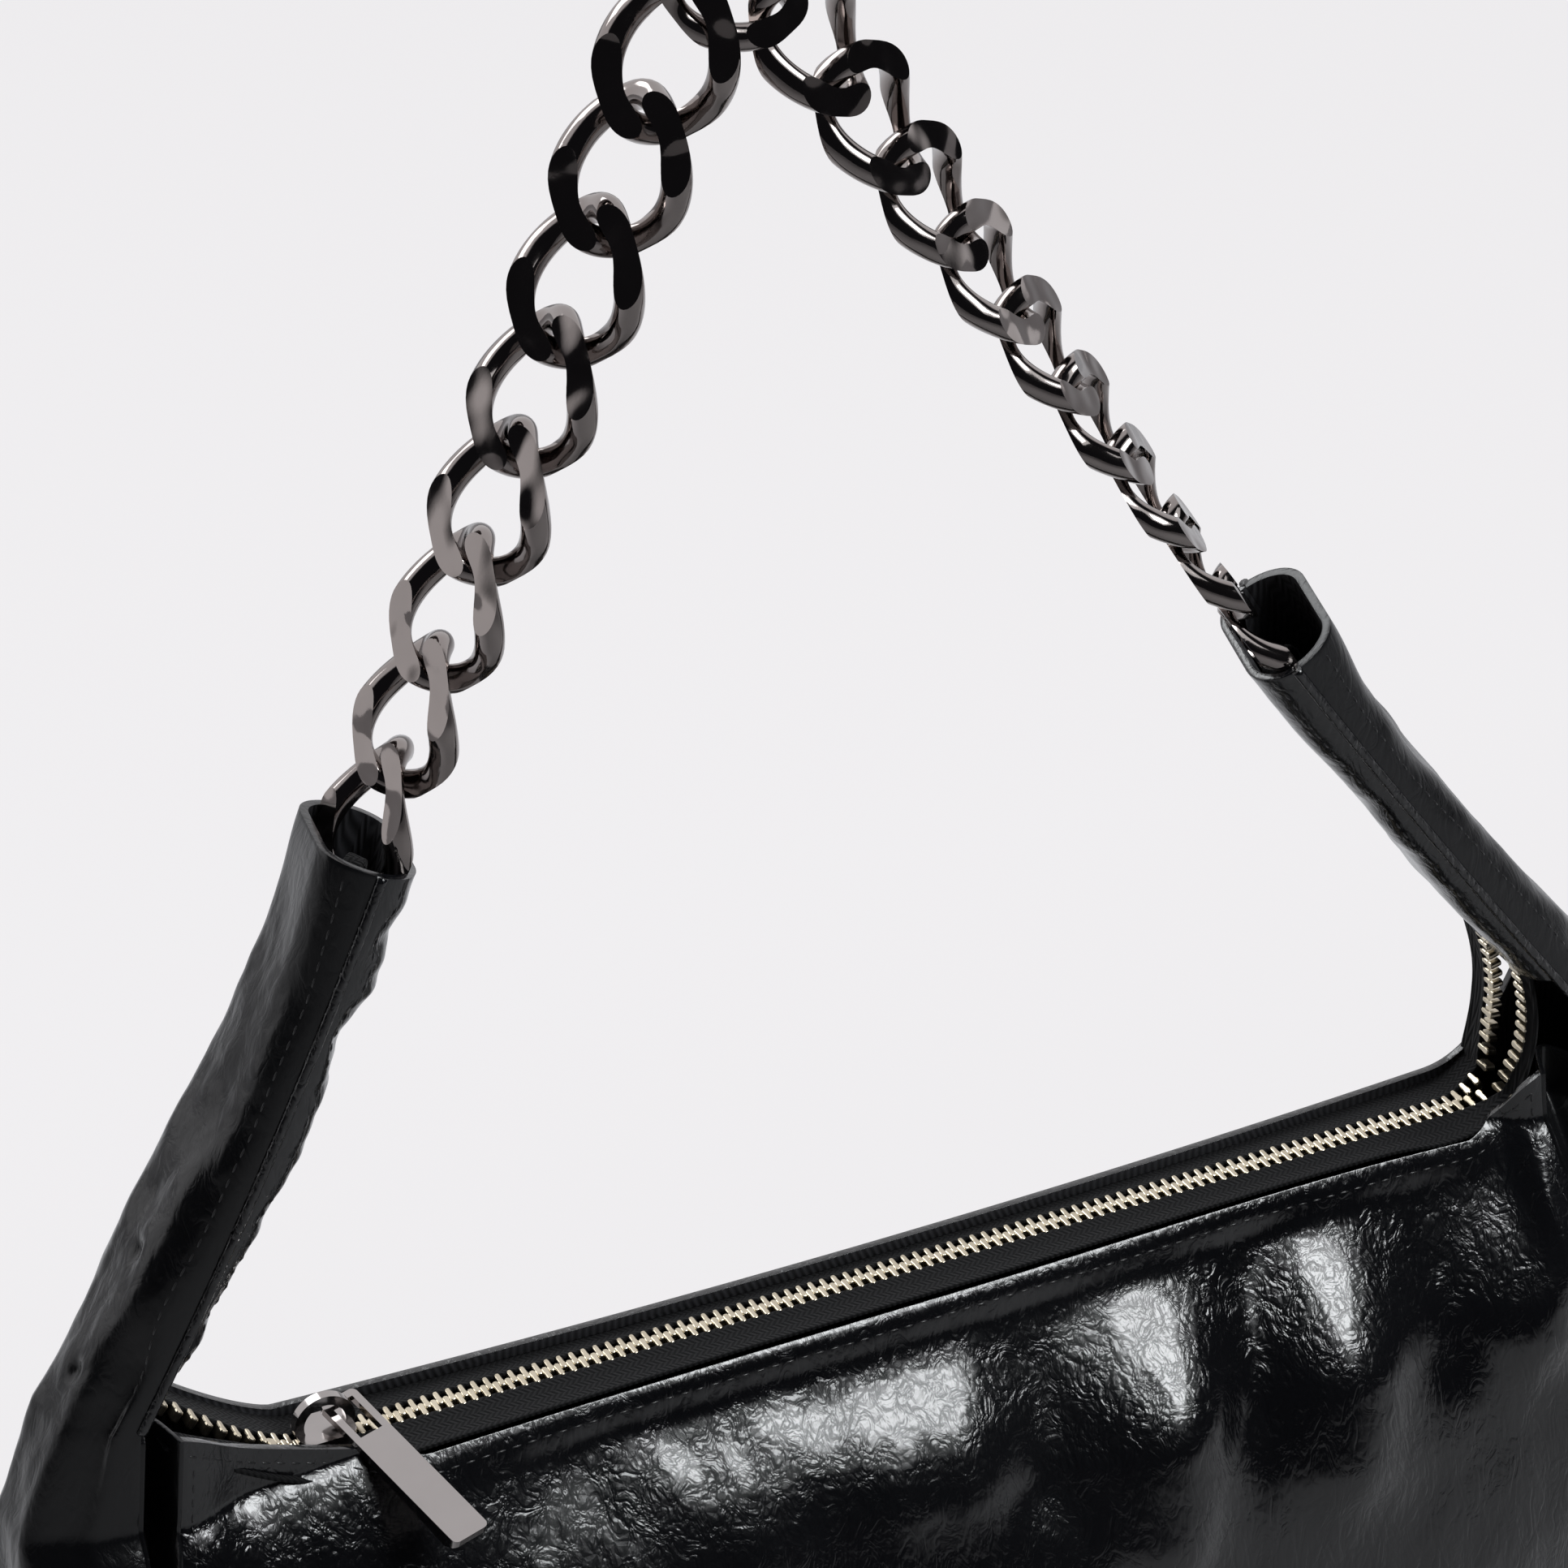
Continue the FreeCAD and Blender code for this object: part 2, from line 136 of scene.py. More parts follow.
# Materials: scales are per metre, depths in metres
noise_spread = (0.3, 0.7)
leather_upright = 0.42
leather_slow_scale = 22
leather_streak_scale = 480
leather_crease_scale = 250
leather_cell_scale = 420
leather_cell_gap = 0.25
leather_crease_width = 0.12
leather_streak_share = 0.6
leather_grain_share = 0.22
leather_crease_share = 0.5
leather_relief = 0.0006
coat_roughness = 0.1
metal_cloud_scale = 90
metal_mark_scale = 900
metal_wave_scale = 75
metal_mark_share = 0.002
metal_relief = 0.005
metal_roughness_spread = 0.07
weave_turn = 0.0011
weave_bump = 0.6
weave_relief = 0.0003
weave_roughness = 0.8
weave_sheen = 0.06
weave_specular = 0.2


def new_material(name):
    mat = bpy.data.materials.new(name)
    mat.use_nodes = True
    tree = mat.node_tree
    return mat, tree, tree.nodes["Principled BSDF"]


def add(tree, kind, **values):
    node = tree.nodes.new(kind)
    for key, value in values.items():
        setattr(node, key, value)
    return node


def coordinates(tree, scale):
    coord = add(tree, "ShaderNodeTexCoord")
    mapping = add(tree, "ShaderNodeMapping")
    mapping.inputs["Scale"].default_value = scale
    tree.links.new(coord.outputs["Object"], mapping.inputs["Vector"])
    return mapping.outputs["Vector"]


def axes(tree, kind):
    """The three separate values of a texture coordinate."""
    coord = add(tree, "ShaderNodeTexCoord")
    parts = add(tree, "ShaderNodeSeparateXYZ")
    tree.links.new(coord.outputs[kind], parts.inputs["Vector"])
    return parts.outputs


def noise_node(tree, vector, scale, detail, roughness=0.55, distortion=0.0):
    node = add(tree, "ShaderNodeTexNoise")
    node.inputs["Scale"].default_value = scale
    node.inputs["Detail"].default_value = detail
    node.inputs["Roughness"].default_value = roughness
    node.inputs["Distortion"].default_value = distortion
    tree.links.new(vector, node.inputs["Vector"])
    return node.outputs["Fac"]


def ranged(tree, value, low, high, start=0.0, end=1.0):
    node = add(tree, "ShaderNodeMapRange")
    for key, number in (("From Min", start), ("From Max", end), ("To Min", low), ("To Max", high)):
        node.inputs[key].default_value = number
    tree.links.new(value, node.inputs["Value"])
    return node.outputs["Result"]


def maths(tree, operation, a, b):
    node = add(tree, "ShaderNodeMath", operation=operation)
    for socket, value in zip(node.inputs, (a, b)):
        if isinstance(value, (int, float)):
            socket.default_value = value
        else:
            tree.links.new(value, socket)
    return node.outputs["Value"]


def two_colours(tree, shader, value, dark, light):
    ramp = add(tree, "ShaderNodeValToRGB")
    ramp.color_ramp.elements[0].color = (*dark, 1)
    ramp.color_ramp.elements[1].color = (*light, 1)
    tree.links.new(value, ramp.inputs["Fac"])
    tree.links.new(ramp.outputs["Color"], shader.inputs["Base Color"])


def bump(tree, shader, height, strength, distance):
    node = add(tree, "ShaderNodeBump")
    node.inputs["Strength"].default_value = strength
    node.inputs["Distance"].default_value = distance
    tree.links.new(height, node.inputs["Height"])
    tree.links.new(node.outputs["Normal"], shader.inputs["Normal"])


def leather_material(name, crinkle, gloss_low, gloss_high, dark, light, specular=0.6, coat=0.6):
    """Glossy black leather: fine upright crinkles, a pebbled grain and slow changes of gloss."""
    mat, tree, shader = new_material(name)
    flat = coordinates(tree, (1, 1, 1))
    tall = coordinates(tree, (1, 1, leather_upright))
    slow = noise_node(tree, flat, leather_slow_scale, 3)
    streaks = noise_node(tree, tall, leather_streak_scale, 2, 0.5, 0.6)
    creases = noise_node(tree, tall, leather_crease_scale, 3, 0.5, 1.0)
    cells = add(tree, "ShaderNodeTexVoronoi", feature="DISTANCE_TO_EDGE")
    cells.inputs["Scale"].default_value = leather_cell_scale
    tree.links.new(tall, cells.inputs["Vector"])
    grain = ranged(tree, cells.outputs["Distance"], 0, 1, 0, leather_cell_gap)
    from_middle = maths(tree, "ABSOLUTE", maths(tree, "SUBTRACT", creases, 0.5), 0)
    sharp = ranged(tree, from_middle, 0, 1, 0, leather_crease_width)
    height = maths(tree, "MULTIPLY", streaks, leather_streak_share)
    height = maths(tree, "ADD", height, maths(tree, "MULTIPLY", grain, leather_grain_share))
    height = maths(tree, "ADD", height, maths(tree, "MULTIPLY", sharp, leather_crease_share))
    bump(tree, shader, height, crinkle, leather_relief)
    two_colours(tree, shader, slow, dark, light)
    tree.links.new(ranged(tree, slow, gloss_low, gloss_high, *noise_spread), shader.inputs["Roughness"])
    shader.inputs["Specular IOR Level"].default_value = specular
    shader.inputs["Coat Weight"].default_value = coat
    shader.inputs["Coat Roughness"].default_value = coat_roughness
    return mat


def metal_material(name, colour, dark, roughness, wave):
    """Polished plating: faces a little wavy from hand finishing, with faint handling marks."""
    mat, tree, shader = new_material(name)
    flat = coordinates(tree, (1, 1, 1))
    cloud = noise_node(tree, flat, metal_cloud_scale, 4)
    marks = noise_node(tree, flat, metal_mark_scale, 3)
    waves = noise_node(tree, flat, metal_wave_scale, 1)
    two_colours(tree, shader, cloud, dark, colour)
    gloss = ranged(tree, cloud, roughness, roughness + metal_roughness_spread, *noise_spread)
    tree.links.new(gloss, shader.inputs["Roughness"])
    height = maths(tree, "ADD", waves, maths(tree, "MULTIPLY", marks, metal_mark_share))
    bump(tree, shader, height, wave, metal_relief)
    shader.inputs["Metallic"].default_value = 1.0
    return mat


def woven_material(name, dark, light, rib):
    """Herringbone tape: slanting ribs that change direction across the width, coloured lighter on their crests
    and darker in their dips as painted shade.
    """
    mat, tree, shader = new_material(name)
    place = axes(tree, "Object")
    zig = maths(tree, "PINGPONG", place["Y"], weave_turn)
    run = maths(tree, "ADD", place["X"], zig)
    ribs = maths(tree, "SINE", maths(tree, "MULTIPLY", run, rib), 0)
    height = ranged(tree, ribs, 0, 1, -1, 1)
    bump(tree, shader, height, weave_bump, weave_relief)
    # Painted shade: the colour follows the ribs' height, darker in the dips between them and lighter on their
    # crests
    two_colours(tree, shader, height, dark, light)
    shader.inputs["Roughness"].default_value = weave_roughness
    shader.inputs["Sheen Weight"].default_value = weave_sheen
    shader.inputs["Specular IOR Level"].default_value = weave_specular
    return mat


black = leather_material("crinkled_leather", crinkle=0.34, gloss_low=0.16, gloss_high=0.26,
                         dark=(0.0025, 0.0027, 0.0034), light=(0.006, 0.0064, 0.008))
side_black = leather_material("smooth_leather", crinkle=0.16, gloss_low=0.22, gloss_high=0.34,
                              dark=(0.0035, 0.0037, 0.0044), light=(0.008, 0.0084, 0.0096),
                              specular=0.4, coat=0.2)
edge_black = leather_material("edge_leather", crinkle=0.6, gloss_low=0.12, gloss_high=0.2,
                              dark=(0.003, 0.0032, 0.004), light=(0.007, 0.0074, 0.009))
thread = leather_material("waxed_thread", crinkle=0.3, gloss_low=0.36, gloss_high=0.48,
                          dark=(0.003, 0.003, 0.004), light=(0.008, 0.008, 0.0095))
gunmetal = metal_material("gunmetal", (0.36, 0.322, 0.308), (0.28, 0.25, 0.24), roughness=0.05, wave=0.5)
pale_metal = metal_material("pale_gunmetal", (0.47, 0.44, 0.43), (0.38, 0.355, 0.345),
                            roughness=0.1, wave=0.08)
brass = metal_material("antique_brass", (0.72, 0.65, 0.52), (0.5, 0.44, 0.33), roughness=0.24, wave=0.05)
tape_black = woven_material("herringbone_tape", (0.003, 0.003, 0.0035), (0.009, 0.009, 0.01), rib=5200)
lining_black = woven_material("lining_twill", (0.012, 0.012, 0.014), (0.03, 0.03, 0.034), rib=4200)


# Mesh helpers
rolled_edge_share = 1 / 3
rolled_edge_angle_deg = 60
stitch_spacing = 3.1
stitch_length = 2.4
stitch_radius = 0.2
stitch_sides = 6
stitch_rings = ((-0.5, 0.35), (-0.3, 0.9), (0.0, 1.0), (0.3, 0.9), (0.5, 0.35))
stitch_sink_share = 2.2
stitch_lift_share = 0.2
steep_share = 0.9


def mesh_object(name, points, faces, material, smooth=True):
    mesh = bpy.data.meshes.new(name)
    mesh.from_pydata([tuple(v * MM for v in p) for p in points], [], faces)
    mesh.update()
    for polygon in mesh.polygons:
        polygon.use_smooth = smooth
    piece = bpy.data.objects.new(name, mesh)
    bpy.context.scene.collection.objects.link(piece)
    mesh.materials.append(material)
    return piece


def grid_object(name, rows, material, flip=False):
    count = len(rows[0])
    points = [p for row in rows for p in row]
    faces = []
    for i in range(len(rows) - 1):
        for j in range(count - 1):
            a = i * count + j
            quad = (a, a + 1, a + count + 1, a + count)
            faces.append(quad[::-1] if flip else quad)
    return mesh_object(name, points, faces, material)


def soft_edges(piece, width, segments, angle_deg, harden=False, name="soft_edges"):
    soft = piece.modifiers.new(name, "BEVEL")
    soft.width = width * MM
    soft.segments = segments
    soft.limit_method = "ANGLE"
    soft.angle_limit = math.radians(angle_deg)
    soft.harden_normals = harden


def thicken(piece, thickness, inside=None):
    """Gives a sheet its thickness, inwards, with a soft rolled edge."""
    solid = piece.modifiers.new("thickness", "SOLIDIFY")
    solid.thickness = thickness * MM
    solid.offset = -1
    if inside:
        piece.data.materials.append(inside)
        solid.material_offset = 1
    soft_edges(piece, thickness * rolled_edge_share, 2, rolled_edge_angle_deg, name="rolled_edge")


def dress(piece, body, slot, *replaced):
    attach(piece, body)
    if replaced:
        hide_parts(*replaced)


def tube_faces(first, rings, sides):
    """Side and end faces of a closed tube whose points start at a number, ring after ring."""
    faces = []
    for r in range(rings - 1):
        for k in range(sides):
            a = first + r * sides + k
            b = first + r * sides + (k + 1) % sides
            faces.append((a, b, b + sides, a + sides))
    faces.append(tuple(first + k for k in reversed(range(sides))))
    faces.append(tuple(first + (rings - 1) * sides + k for k in range(sides)))
    return faces


def resample(path, spacing):
    """Points at an even spacing along a polyline of (point, normal) pairs."""
    result = []
    need = 0.0
    for (a, na), (b, nb) in zip(path, path[1:]):
        run = (Vector(b) - Vector(a)).length
        at = need
        while at < run:
            share = at / run
            result.append((Vector(a).lerp(Vector(b), share), Vector(na).lerp(Vector(nb), share).normalized()))
            at += spacing
        need = at - run
    return result


def stitches(name, path):
    """A row of short rounded stitches lying on the leather along a path of (point, normal) pairs."""
    points = []
    faces = []
    places = resample(path, stitch_spacing)
    for i, (middle, normal) in enumerate(places):
        ahead = places[min(i + 1, len(places) - 1)][0] - places[max(i - 1, 0)][0]
        if ahead.length == 0:
            continue
        along = ahead.normalized()
        side = normal.cross(along).normalized()
        up = along.cross(side)
        first = len(points)
        for share, swell in stitch_rings:
            radius = stitch_radius * swell
            lift = stitch_radius * (stitch_lift_share - stitch_sink_share * abs(share))
            for k in range(stitch_sides):
                angle = 2 * math.pi * k / stitch_sides
                offset = side * math.cos(angle) * radius + up * (math.sin(angle) * radius + lift)
                points.append(middle + along * share * stitch_length + offset)
        faces += tube_faces(first, len(stitch_rings), stitch_sides)
    piece = mesh_object(name, points, faces, thread)
    dress(piece, "bag", "black_leather")


def welt(name, path, radius, sides=10):
    """A rounded leather edge along a path of points."""
    points = []
    for i, p in enumerate(path):
        ahead = path[min(i + 1, len(path) - 1)]
        before = path[max(i - 1, 0)]
        along = (Vector(ahead) - Vector(before)).normalized()
        aside = Vector((0, 0, 1)) if abs(along.z) < steep_share else Vector((0, 1, 0))
        side = along.cross(aside).normalized()
        up = side.cross(along)
        for k in range(sides):
            angle = 2 * math.pi * k / sides
            points.append(Vector(p) + side * math.cos(angle) * radius + up * math.sin(angle) * radius)
    piece = mesh_object(name, points, tube_faces(0, len(path), sides), edge_black)
    dress(piece, "bag", "black_leather")


# Shape of the body, level by level

def level(z):
    """Half width, panel corner, edge depth and middle depths (front, back) of the body at a height."""
    share = min((z - base_z) / body_height, 1)
    belly = min(share / belly_share, 1)
    climb = max((share - belly_share) / (1 - belly_share), 0)
    lower = (1 - belly) ** 2
    swell = max(1 - climb ** shoulder_power, 0) ** swell_power
    end = mix(body_half_width, zip_half_width, climb ** 2) * mix(1, base_width_share, lower)
    depth = mix(body_half_depth, body_half_depth * base_depth_share, lower)
    edge = mix(tab_foot_half_width, depth * panel_edge_share, swell)
    middle = {-1: mix(front_mouth_depth, depth, swell), 1: mix(back_mouth_depth, depth, swell)}
    corner = end - end_bulge
    if z > zip_z:
        rise = (z - zip_z) / end_rise
        end = mix(end, foot_half_span + tab_foot_outer, rise)
        corner = mix(corner, foot_half_span, rise)
    return end, corner, edge, middle


def top_line(x, sink):
    """Height of the bag's top edge at a distance from the middle: level, then climbing to the tabs."""
    end = 1 if x > 0 else -1
    past = max(abs(x) - climb_start[end], 0) / (foot_half_span - climb_start[end])
    return zip_z + end_rise * past ** climb_power[end] - sink


def front_top_line(x, sink):
    """The same for the front panel, whose two upper corners stand proud of the tabs."""
    end = 1 if x > 0 else -1
    past = max(abs(x) - front_lift_start[end], 0) / (foot_half_span - front_lift_start[end])
    return zip_z + front_lift[end] * past ** front_lift_power - sink


def narrowing(x):
    """How much nearer to the zip the front panel's top edge comes towards the right."""
    return front_narrowing * smooth_step(narrowing_start, narrowing_end, x)


# Front and back panels
# Folds: start and end (x, z), half width and height
front_folds = (
    ((-24, -280), (34, -286), 11, 3.5),
    ((83, -268), (72, -316), 13, 6.6),
    ((120, -266), (114, -314), 12, 5.8),
    ((166, -264), (161, -302), 10, 4.8),
    ((57, -272), (48, -302), 8, -3.4),
    ((102, -268), (95, -300), 7, -3.4),
    ((144, -266), (139, -300), 8, -3.2),
    ((-60, -312), (40, -326), 18, 2.4),
    ((34, -340), (154, -338), 24, 1.8),
    ((-90, -354), (60, -370), 24, 2.4),
    ((60, -384), (150, -356), 22, 2.2),
)
back_folds = (
    ((-60, -280), (0, -300), 12, 3.0),
    ((40, -276), (60, -310), 11, 3.2),
    ((100, -274), (120, -306), 10, 3.0),
    ((-80, -340), (40, -352), 22, 2.6),
    ((50, -372), (150, -346), 22, 2.4),
)
fold_end_share = 0.84

# Hem along the top edge, drawn in under the zip, and the tucked upper front corners
hem_depth = 8.0
hem_fade = 4 * hem_depth
hem_edge_draw = 3.2
hem_draw = 7.0
hem_draw_start_share = -0.8
hem_draw_full_share = -0.36
corner_tuck = {-1: 7.0, 1: 11.0}
corner_stand = 2.5
tuck_height_shares = (0.76, 0.92)
tuck_end_shares = (0.84, 1.0)

# Wrinkles of a panel: height, stretch, size and where they end below the top edge
slow_wrinkle = (1.0, (1, 1, 0.7), 40, 0.92)
fine_wrinkle = (0.14, (1, 1, 0.5), 7, 0.97)
fine_seed = 9
calm_end_share = 0.06
calm_base_share = 0.05

# A panel's form: side, folds, seed of its wrinkles, and how far its top edge lies below the zip's line
front_form = (-1, front_folds, 3.0, front_edge_drop)
back_form = (1, back_folds, 17.0, -back_edge_rise)
panel_columns = 220
panel_rows = 130
row_crowding = 1.5
near_u = 0.002
near_t = 0.004
seam_share = 0.984
top_seam_end_share = 0.985
side_seam_shares = (0.02, 0.98)
seam_points = 160


def fold_height(folds, x, z):
    total = 0.0
    for (x0, z0), (x1, z1), width, height in folds:
        dx, dz = x1 - x0, z1 - z0
        share = min(max(((x - x0) * dx + (z - z0) * dz) / (dx * dx + dz * dz), 0), 1)
        away = math.hypot(x - x0 - dx * share, z - z0 - dz * share)
        total += height * math.exp(-(away / width) ** 2)
    return total


def panel_point(form, u, t):
    """Point of a panel; u runs across from -1 to 1, t from the base to the top edge."""
    side, folds, seed, sink = form
    along = u * foot_half_span
    z_top = front_top_line(along, sink) if side < 0 else top_line(along, sink)
    z = mix(base_z, z_top, t)
    end, corner, edge, middle = level(z)
    x = u * corner
    y = edge + (middle[side] - edge) * (1 - u * u)
    below = z_top - z
    draw_top, draw_full = 0, hem_draw
    if side < 0:
        draw_top = hem_edge_draw
        draw_full = mix(hem_edge_draw, hem_draw, smooth_step(hem_draw_start_share, hem_draw_full_share, u))
    draw = mix(draw_top, draw_full, smooth_step(0, hem_depth, below))
    y -= draw * smooth_step(hem_fade, hem_depth, below) * (1 - u ** 4)
    if side < 0:
        hand = 1 if u > 0 else -1
        tuck = smooth_step(*tuck_height_shares, t) * smooth_step(*tuck_end_shares, abs(u))
        x -= hand * corner_tuck[hand] * tuck
        y += corner_stand * tuck
        y -= narrowing(along) * smooth_step(hem_fade, 0, below)
    calm = smooth_step(0, calm_end_share, 1 - abs(u)) * smooth_step(0, calm_base_share, t)
    push = fold_height(folds, bag_x + x, z) * smooth_step(1.0, fold_end_share, t)
    for (height, stretch, size, fade), shift in ((slow_wrinkle, 0), (fine_wrinkle, fine_seed)):
        push += height * wrinkle((x, 0, z), stretch, size, seed + shift) * smooth_step(1.0, fade, t)
    return Vector((bag_x + x, side * (y + push * calm), z))


def panel(name, form):
    rows = []
    for i in range(panel_rows + 1):
        t = 1 - (1 - i / panel_rows) ** row_crowding
        rows.append([panel_point(form, 2 * j / panel_columns - 1, t) for j in range(panel_columns + 1)])
    return grid_object(name, rows, black, flip=form[0] > 0)


def panel_place(form, u, t):
    """Point of a panel with its outward normal."""
    here = panel_point(form, u, t)
    across = panel_point(form, u + near_u, t) - panel_point(form, u - near_u, t)
    along = here - panel_point(form, u, t - near_t)
    normal = across.cross(along).normalized()
    if normal.y * form[0] < 0:
        normal = -normal
    return here, normal


front = panel("front_panel_leather", front_form)
thicken(front, leather, lining_black)
dress(front, "bag", "black_leather", "front_panel", "lining_front")
back = panel("back_panel_leather", back_form)
thicken(back, leather, lining_black)
dress(back, "bag", "black_leather", "back_panel", "lining_back")

seam_steps = [i / seam_points for i in range(seam_points + 1)]
for name, form in (("front", front_form), ("back", back_form)):
    top_row = [panel_place(form, mix(-top_seam_end_share, top_seam_end_share, v), seam_share)
               for v in seam_steps]
    stitches("stitches_%s_top" % name, top_row)
    for end, end_name in ends:
        side_row = [panel_place(form, end * seam_share, mix(*side_seam_shares, v)) for v in seam_steps]
        stitches("stitches_%s_%s" % (name, end_name), side_row)


# Gussets and tabs: one strip of leather per side, drawn up into the tab
mouth_flare = 2.2
mouth_flare_share = 0.22
mouth_calm_shares = (1.98, 1.72)
strip_edge_calm_share = 0.25
inner_edge_calm_share = 0.3
inner_mouth_calm_share = 0.9
outer_ripple = {-1: 2.1, 1: 1.2}
outer_ripple_stretch = (0.5, 1, 0.5)
outer_ripple_size = 30
outer_seed = 5
fine_ripple = 0.35
fine_ripple_stretch = (0.4, 1.3, 0.8)
fine_ripple_size = 13
fine_ripple_seed = 31
inner_ripple = {-1: 2.2, 1: 0.7}
inner_ripple_stretch = (0.6, 0.5, 1)
inner_ripple_size = 17
inner_seed = 47
pinch = 4.5
pinch_rise_shares = (0.62, 0.9)
pinch_end_shares = (1.25, 1.0)
pinch_place_share = 0.72
pinch_width_share = 0.14

# Places on the left strip, across and along it, where a hidden tack draws the leather in
left_tacks = ((-0.2, 1.3), (-0.2, 1.09))
tack_depth = 1.1
tack_width_share = 0.12
tack_height_share = 0.016

strip_columns = 64
strip_rows = 260
inner_rows = 120
inner_start_share = 0.11
welt_points = 120
welt_radius = 1.0
tab_seam_share = 0.8
outer_seam_shares = (1.01, 1.985)
inner_seam_shares = (0.13, 0.985)
near_q = 0.03
near_v = 0.004


def leg_geometry(side):
    """Start of a chain leg, the tab's mouth on it, and the ways down and out."""
    lean = math.radians(chain_lean_deg[side])
    start = Vector(chain_start[side])
    down = Vector((side * math.sin(lean), 0, -math.cos(lean)))
    out = Vector((side * math.cos(lean), 0, math.sin(lean)))
    return start, start + down * link_pitch * mouth_links[side], down, out


def tab_station(side, share):
    """Middle, across axis, outward axis, half width and half thickness of the tab between mouth and foot."""
    start, mouth, down, leg_out = leg_geometry(side)
    foot = Vector((bag_x + side * foot_half_span, 0, foot_z))
    knee = mouth + down * ((foot - mouth).length / 2)
    middle = mouth.lerp(knee, share).lerp(knee.lerp(foot, share), share)
    if side > 0:
        middle += leg_out * right_tab_lean_out * (1 - share ** 2)
    twist = math.radians(mix(tab_twist_deg[side], 0, share))
    out = leg_out.lerp(Vector((side, 0, 0)), share).normalized()
    across = Vector((0, math.cos(twist), 0)) + out * math.sin(twist)
    normal = out * math.cos(twist) - Vector((0, math.sin(twist), 0))
    half = mix(tab_half_width, tab_foot_half_width, share)
    waist = 4 * share * (1 - share)
    thick = mix(tab_mouth_half_thickness, tab_waist_half_thickness, waist)
    return middle, across, normal, half, thick


def bow(q, half, rise):
    """Distance across and outwards on a bowed strip, q from -1 to 1."""
    corner = corner_share * half
    if abs(q) < 0.5:
        return 2 * q * (half - corner), rise
    angle = (1 - abs(q)) * math.pi
    return math.copysign(half - corner * (1 - math.cos(angle)), q), rise * math.sin(angle)


def side_point(side, q, v):
    """Point of the side strip: v 0 at the base, 1 at the foot of the tab, 2 at the chain's mouth."""
    if v <= 1:
        z = mix(base_z, foot_z, v)
        end, corner, edge, middle = level(z)
        a, b = bow(q, edge, end - corner)
        point = Vector((bag_x + side * (corner + b), a, z))
        out = Vector((side, 0, 0))
    else:
        share = 2 - v
        middle, across, out, half, thick = tab_station(side, share)
        flare = mouth_flare * smooth_step(mouth_flare_share, 0, share)
        a, b = bow(q, half, mix(thick, tab_foot_outer, share ** 2) + flare)
        point = middle + across * a + out * b
    calm = smooth_step(0, strip_edge_calm_share, 1 - abs(q)) * smooth_step(0, calm_base_share, v)
    calm *= smooth_step(*mouth_calm_shares, v)
    push = outer_ripple[side] * wrinkle(point, outer_ripple_stretch, outer_ripple_size, outer_seed + side)
    push += fine_ripple * wrinkle(point, fine_ripple_stretch, fine_ripple_size, fine_ripple_seed + side)
    pinched = smooth_step(*pinch_rise_shares, v) * smooth_step(*pinch_end_shares, v)
    push -= pinch * pinched * math.exp(-((abs(q) - pinch_place_share) / pinch_width_share) ** 2)
    if side < 0:
        for tack_q, tack_v in left_tacks:
            away = ((q - tack_q) / tack_width_share) ** 2 + ((v - tack_v) / tack_height_share) ** 2
            push -= tack_depth * math.exp(-away)
    return point + out * push * calm


def inner_point(side, q, v):
    """Point of the strip that closes the tab on the chain's side; v 0 at the foot, 1 at the mouth."""
    share = 1 - v
    middle, across, out, half, thick = tab_station(side, share)
    a, b = bow(q, half, mix(thick, tab_foot_inner, share ** 2))
    calm = smooth_step(0, inner_edge_calm_share, 1 - abs(q)) * smooth_step(1.0, inner_mouth_calm_share, v)
    point = middle + across * a - out * b
    push = inner_ripple[side] * wrinkle(point, inner_ripple_stretch, inner_ripple_size, inner_seed + side)
    return point - out * push * calm


def strip_place(point_at, side, q, v, middle):
    """Point of a tab's strip with its normal, turned away from the tab's middle."""
    here = point_at(side, q, v)
    across = point_at(side, q - math.copysign(near_q, q), v) - here
    along = point_at(side, q, v + near_v) - point_at(side, q, v - near_v)
    normal = across.cross(along).normalized()
    return here, normal if normal.dot(here - middle) > 0 else -normal


def strip_grid(point_at, side, first, last, rows):
    return [[point_at(side, 2 * j / strip_columns - 1, mix(first, last, i / rows))
             for j in range(strip_columns + 1)] for i in range(rows + 1)]


for side, name in ends:
    strip = grid_object("%s_side_leather" % name, strip_grid(side_point, side, 0, 2, strip_rows), side_black,
                        flip=side < 0)
    thicken(strip, leather, lining_black)
    dress(strip, "bag", "black_leather", "%s_gusset" % name, "%s_tab_outer" % name, "lining_%s" % name)
    inner = grid_object("%s_tab_inner_leather" % name,
                        strip_grid(inner_point, side, inner_start_share, 1, inner_rows), black, flip=side > 0)
    thicken(inner, leather, lining_black)
    dress(inner, "bag", "black_leather", "%s_tab_inner" % name)
    for q, edge_name in faces_of_bag:
        edge_path = [side_point(side, q, 1 + i / welt_points) for i in range(welt_points + 1)]
        welt("%s_tab_welt_%s" % (name, edge_name), edge_path, welt_radius)
        for row_name, point_at, shares in (("outer", side_point, outer_seam_shares),
                                           ("inner", inner_point, inner_seam_shares)):
            seam = []
            for v in seam_steps:
                middle = tab_station(side, 2 - mix(*outer_seam_shares, v))[0]
                seam.append(strip_place(point_at, side, q * tab_seam_share, mix(*shares, v), middle))
            stitches("%s_tab_stitches_%s_%s" % (name, edge_name, row_name), seam)


# Leather drawn in between the front panel's proud corners and the tabs
recess_depth = 9.0
recess_start_share = 0.74
recess_full_share = 0.86
recess_rows = 40
recess_columns = 12

